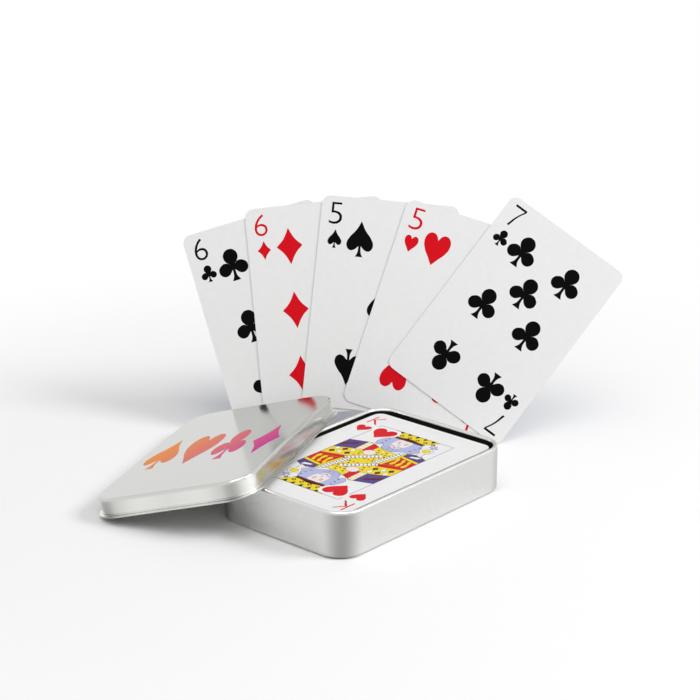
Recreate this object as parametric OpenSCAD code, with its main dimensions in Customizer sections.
// Playing card tin with its slip-over lid lifted off, a full deck of cards inside and five cards fanned behind.
// The origin is the middle of the tin's underside, +X along the tin's length and +Z up, in millimetres.

/* [Cards] */
// Length of a card
card_l = 88; // [84:0.5:92]
// Width of a card
card_w = 57; // [54:0.5:64]
// Thickness of a card
card_t = 0.3; // [0.24:0.01:0.34]
// Corner radius of a card
card_r = 3.5; // [2:0.5:6]
// Air between two cards that lie on each other
card_air = 0.03; // [0.01:0.01:0.06]

/* [Tin] */
// Thickness of the tinplate
sheet_t = 0.3; // [0.2:0.05:0.4]
// Diameter of the curl rolled inwards round the mouth
rim_d = 1.8; // [1.4:0.1:2.4]
// Room between the cards' edges and the curl, on each side
deck_room = 1.95; // [1:0.05:4]
// Depth of the top card below the rim
deck_drop = 1.7; // [0.5:0.05:4]
// Corner radius of the tin, seen from above
corner_r = 10; // [6:0.5:12]
// Outer radius between wall and bottom
foot_r = 1.6; // [1:0.1:2.5]
// How far the deck lies off the tin's middle, towards the mouth's left corner
deck_off = 0.5; // [0:0.1:0.9]

/* [Lid] */
// Clearance between the lid's skirt and the tin's wall when closed
lid_clear = 0.3; // [0.1:0.05:0.6]
// Height of the lid from its top face to the underside of the bead
lid_h = 7.55; // [6.5:0.05:10]
// Diameter of the bead rolled outwards along the skirt's edge
bead_d = 1.5; // [1:0.1:2]
// Outer radius between the lid's top and its skirt
crown_r = 1.2; // [0.6:0.1:2]

/* [Lid laid aside] */
// Turn of the lid against the tin, seen from above
lid_turn = 22; // [16:1:28]
// How far the lid's near bead reaches in over the tin's left corner
lid_reach = 23.6; // [20:0.1:27]
// Shift of the lid's middle along its own length from the tin's left corner
lid_slip = 28.9; // [26:0.1:31]
// Gap left where loose pieces rest on the floor or on the rim
seat_gap = 0.1; // [0.05:0.05:0.3]

/* [Fanned cards] */
// Turn of the fan against the tin's length, seen from above
fan_turn = -51.5; // [-54:0.5:-47]
// Angle at which the fan leans back from upright
fan_lean = 25; // [15:1:30]
// How far the fan's foot line passes behind the middle of the lid's rounded corner
fan_past = 8.3; // [7:0.1:9.5]
// Room on the floor between the lid's corner and the first card
fan_room = 3.1; // [2:0.1:6]

/* [Hidden] */
$fn = 48;

// Cards in the tin, from the bottom up
DECK = [
    "card_joker_1", "card_joker_2", "card_ace_clubs", "card_2_clubs", "card_3_clubs", "card_4_clubs",
    "card_5_clubs", "card_8_clubs", "card_9_clubs", "card_10_clubs", "card_jack_clubs",
    "card_queen_clubs", "card_king_clubs", "card_ace_diamonds", "card_2_diamonds", "card_3_diamonds",
    "card_4_diamonds", "card_5_diamonds", "card_7_diamonds", "card_8_diamonds", "card_9_diamonds",
    "card_10_diamonds", "card_jack_diamonds", "card_queen_diamonds", "card_king_diamonds",
    "card_ace_spades", "card_2_spades", "card_3_spades", "card_4_spades", "card_6_spades",
    "card_7_spades", "card_8_spades", "card_9_spades", "card_10_spades", "card_jack_spades",
    "card_queen_spades", "card_king_spades", "card_ace_hearts", "card_2_hearts", "card_3_hearts",
    "card_4_hearts", "card_6_hearts", "card_7_hearts", "card_8_hearts", "card_9_hearts",
    "card_10_hearts", "card_jack_hearts", "card_queen_hearts", "card_king_hearts"
];
// Cards of the fan, from the back left to the front right
FAN = ["card_6_clubs", "card_6_diamonds", "card_5_spades", "card_5_hearts", "card_7_clubs"];
// Each fanned card's distance from the first one, its rise above the floor and its tilt to the right
fan_along = [0, 19, 43, 68, 94.5];
fan_rise = [0, 8, 10, 1, 0];
fan_tilt = [-18, -7, 4.5, 17, 36];

// Width of the flat strip inside each bend, which laps over the flat sheet it joins
lap = 1;

card_pitch = card_t + card_air;
wall_off = rim_d + deck_room;
tin_l = card_l + 2 * wall_off;
tin_w = card_w + 2 * wall_off;
tin_h = sheet_t + card_air + len(DECK) * card_pitch + deck_drop;
deck_place = [-deck_off, deck_off];

lid_wall = lid_clear + sheet_t;
lid_l = tin_l + 2 * lid_wall;
lid_w = tin_w + 2 * lid_wall;
lid_r = corner_r + lid_wall;
bead_y = lid_w / 2 + bead_d / 2 - sheet_t;
bead_z = lid_h - bead_d / 2;
lid_tilt = asin(tin_h / (2 * bead_y));
lid_z = seat_gap + bead_d / 2 + bead_y * sin(lid_tilt) + bead_z * cos(lid_tilt);
// Distance of the near bead from the lid's middle, seen from above
bead_back = bead_y * cos(lid_tilt) + bead_z * sin(lid_tilt);
lid_across = bead_back - lid_reach;
lid_x = -tin_l / 2 + lid_slip * cos(lid_turn) - lid_across * sin(lid_turn);
lid_y = tin_w / 2 + lid_slip * sin(lid_turn) + lid_across * cos(lid_turn);

// Middle of the lid's rounded corner beside the fan, at the bead, and the bead's outer radius there
corner_x = lid_l / 2 - lid_r;
corner_y = (lid_w / 2 - lid_r) * cos(lid_tilt) - bead_z * sin(lid_tilt);
corner_mid = [lid_x + corner_x * cos(lid_turn) - corner_y * sin(lid_turn),
    lid_y + corner_x * sin(lid_turn) + corner_y * cos(lid_turn)];
corner_out = lid_r + bead_d - sheet_t;

fan_dist = corner_mid * [-sin(fan_turn), cos(fan_turn)] + fan_past;
fan_foot = corner_mid * [cos(fan_turn), sin(fan_turn)] + sqrt(corner_out ^ 2 - fan_past ^ 2) + fan_room;
fan_start = fan_foot + card_w / 2 * cos(fan_tilt[0]) + card_l / 2 * sin(fan_tilt[0]);
fan_step = card_pitch / cos(fan_lean);
// Height of a tilted card's middle above its lowest point
function card_stand(tilt) = (card_w / 2 - card_r) * abs(sin(tilt))
    + (card_l / 2 - card_r) * cos(tilt) + card_r;

// Outline of a rectangle with round corners, centred
module round_rect(l, w, r) {
    square([l - 2 * r, w], center = true);
    square([l, w - 2 * r], center = true);
    for (x = [-1, 1], y = [-1, 1])
        translate([x * (l / 2 - r), y * (w / 2 - r)])
            circle(r);
}

// A wall section carried round a rounded rectangle; its x is measured outwards from the outline
module sweep_round(l, w, r) {
    for (x = [0, 1], y = [0, 1])
        mirror([x, 0, 0])
            mirror([0, y, 0])
                translate([l / 2 - r, w / 2 - r, 0])
                    rotate_extrude(angle = 90)
                        translate([r, 0])
                            children();
    for (s = [0, 1])
        mirror([s, 0, 0])
            translate([l / 2, w / 2 - r, 0])
                rotate([90, 0, 0])
                    linear_extrude(w - 2 * r)
                        children();
    for (s = [0, 1])
        mirror([0, s, 0])
            translate([r - l / 2, w / 2, 0])
                rotate([90, 0, 90])
                    linear_extrude(l - 2 * r)
                        children();
}

// Quarter of a bent sheet with its middle at the origin, in the corner of positive x and y
module bend(r) {
    intersection() {
        difference() {
            circle(r);
            circle(r - sheet_t);
        }
        square(r);
    }
}

// A rolled edge seen end on: a tube left open over a quarter turn
module curl(d) {
    difference() {
        circle(d = d);
        circle(d = d - 2 * sheet_t);
        square(d);
    }
}

// Section of the tin's wall: flat strip, bent foot, upright wall and inward curl
module tin_section() {
    translate([-foot_r - lap, 0])
        square([lap, sheet_t]);
    translate([-foot_r, foot_r])
        mirror([0, 1])
            bend(foot_r);
    translate([-sheet_t, foot_r])
        square([sheet_t, tin_h - rim_d / 2 - foot_r]);
    translate([-rim_d / 2, tin_h - rim_d / 2])
        rotate(180)
            curl(rim_d);
}

// Section of the lid's skirt, hung from its top face: flat strip, bent crown, skirt and outward bead
module skirt_section() {
    translate([-crown_r - lap, -sheet_t])
        square([lap, sheet_t]);
    translate([-crown_r, -crown_r])
        bend(crown_r);
    translate([-sheet_t, -bead_z])
        square([sheet_t, bead_z - crown_r]);
    translate([bead_d / 2 - sheet_t, -bead_z])
        curl(bead_d);
}

module tin_base() {
    color("silver") {
        linear_extrude(sheet_t)
            round_rect(tin_l - 2 * foot_r, tin_w - 2 * foot_r, corner_r - foot_r);
        sweep_round(tin_l, tin_w, corner_r)
            tin_section();
    }
}

module tin_lid() {
    color("gainsboro")
        translate([lid_x, lid_y, lid_z])
            rotate([0, 0, lid_turn])
                rotate([-lid_tilt, 0, 0]) {
                    translate([0, 0, -sheet_t])
                        linear_extrude(sheet_t)
                            round_rect(lid_l - 2 * crown_r, lid_w - 2 * crown_r, lid_r - crown_r);
                    sweep_round(lid_l, lid_w, lid_r)
                        skirt_section();
                }
}

// One card lying flat, its length along Y
module card_blank() {
    color("white")
        linear_extrude(card_t)
            round_rect(card_w, card_l, card_r);
}

// A card at its place in the stack in the tin, its length along the tin's
module stacked(name) {
    slot = search([name], DECK)[0];
    translate([deck_place[0], deck_place[1], sheet_t + card_air + slot * card_pitch])
        rotate(90)
            card_blank();
}

// A card at its place in the fan, facing the front left
module fanned(name) {
    k = search([name], FAN)[0];
    stand = card_stand(fan_tilt[k]) + seat_gap / cos(fan_lean);
    rotate([0, 0, fan_turn])
        translate([0, fan_dist - k * fan_step, 0])
            rotate([90 - fan_lean, 0, 0])
                translate([fan_start + fan_along[k], stand + fan_rise[k], 0])
                    rotate(-fan_tilt[k])
                        card_blank();
}

module card_6_clubs() {
    fanned("card_6_clubs");
}

module card_6_diamonds() {
    fanned("card_6_diamonds");
}

module card_5_spades() {
    fanned("card_5_spades");
}

module card_5_hearts() {
    fanned("card_5_hearts");
}

module card_7_clubs() {
    fanned("card_7_clubs");
}

module card_joker_1() {
    stacked("card_joker_1");
}

module card_joker_2() {
    stacked("card_joker_2");
}

module card_ace_clubs() {
    stacked("card_ace_clubs");
}

module card_2_clubs() {
    stacked("card_2_clubs");
}

module card_3_clubs() {
    stacked("card_3_clubs");
}

module card_4_clubs() {
    stacked("card_4_clubs");
}

module card_5_clubs() {
    stacked("card_5_clubs");
}

module card_8_clubs() {
    stacked("card_8_clubs");
}

module card_9_clubs() {
    stacked("card_9_clubs");
}

module card_10_clubs() {
    stacked("card_10_clubs");
}

module card_jack_clubs() {
    stacked("card_jack_clubs");
}

module card_queen_clubs() {
    stacked("card_queen_clubs");
}

module card_king_clubs() {
    stacked("card_king_clubs");
}

module card_ace_diamonds() {
    stacked("card_ace_diamonds");
}

module card_2_diamonds() {
    stacked("card_2_diamonds");
}

module card_3_diamonds() {
    stacked("card_3_diamonds");
}

module card_4_diamonds() {
    stacked("card_4_diamonds");
}

module card_5_diamonds() {
    stacked("card_5_diamonds");
}

module card_7_diamonds() {
    stacked("card_7_diamonds");
}

module card_8_diamonds() {
    stacked("card_8_diamonds");
}

module card_9_diamonds() {
    stacked("card_9_diamonds");
}

module card_10_diamonds() {
    stacked("card_10_diamonds");
}

module card_jack_diamonds() {
    stacked("card_jack_diamonds");
}

module card_queen_diamonds() {
    stacked("card_queen_diamonds");
}

module card_king_diamonds() {
    stacked("card_king_diamonds");
}

module card_ace_spades() {
    stacked("card_ace_spades");
}

module card_2_spades() {
    stacked("card_2_spades");
}

module card_3_spades() {
    stacked("card_3_spades");
}

module card_4_spades() {
    stacked("card_4_spades");
}

module card_6_spades() {
    stacked("card_6_spades");
}

module card_7_spades() {
    stacked("card_7_spades");
}

module card_8_spades() {
    stacked("card_8_spades");
}

module card_9_spades() {
    stacked("card_9_spades");
}

module card_10_spades() {
    stacked("card_10_spades");
}

module card_jack_spades() {
    stacked("card_jack_spades");
}

module card_queen_spades() {
    stacked("card_queen_spades");
}

module card_king_spades() {
    stacked("card_king_spades");
}

module card_ace_hearts() {
    stacked("card_ace_hearts");
}

module card_2_hearts() {
    stacked("card_2_hearts");
}

module card_3_hearts() {
    stacked("card_3_hearts");
}

module card_4_hearts() {
    stacked("card_4_hearts");
}

module card_6_hearts() {
    stacked("card_6_hearts");
}

module card_7_hearts() {
    stacked("card_7_hearts");
}

module card_8_hearts() {
    stacked("card_8_hearts");
}

module card_9_hearts() {
    stacked("card_9_hearts");
}

module card_10_hearts() {
    stacked("card_10_hearts");
}

module card_jack_hearts() {
    stacked("card_jack_hearts");
}

module card_queen_hearts() {
    stacked("card_queen_hearts");
}

module card_king_hearts() {
    stacked("card_king_hearts");
}

tin_base();
tin_lid();
card_6_clubs();
card_6_diamonds();
card_5_spades();
card_5_hearts();
card_7_clubs();
card_joker_1();
card_joker_2();
card_ace_clubs();
card_2_clubs();
card_3_clubs();
card_4_clubs();
card_5_clubs();
card_8_clubs();
card_9_clubs();
card_10_clubs();
card_jack_clubs();
card_queen_clubs();
card_king_clubs();
card_ace_diamonds();
card_2_diamonds();
card_3_diamonds();
card_4_diamonds();
card_5_diamonds();
card_7_diamonds();
card_8_diamonds();
card_9_diamonds();
card_10_diamonds();
card_jack_diamonds();
card_queen_diamonds();
card_king_diamonds();
card_ace_spades();
card_2_spades();
card_3_spades();
card_4_spades();
card_6_spades();
card_7_spades();
card_8_spades();
card_9_spades();
card_10_spades();
card_jack_spades();
card_queen_spades();
card_king_spades();
card_ace_hearts();
card_2_hearts();
card_3_hearts();
card_4_hearts();
card_6_hearts();
card_7_hearts();
card_8_hearts();
card_9_hearts();
card_10_hearts();
card_jack_hearts();
card_queen_hearts();
card_king_hearts();
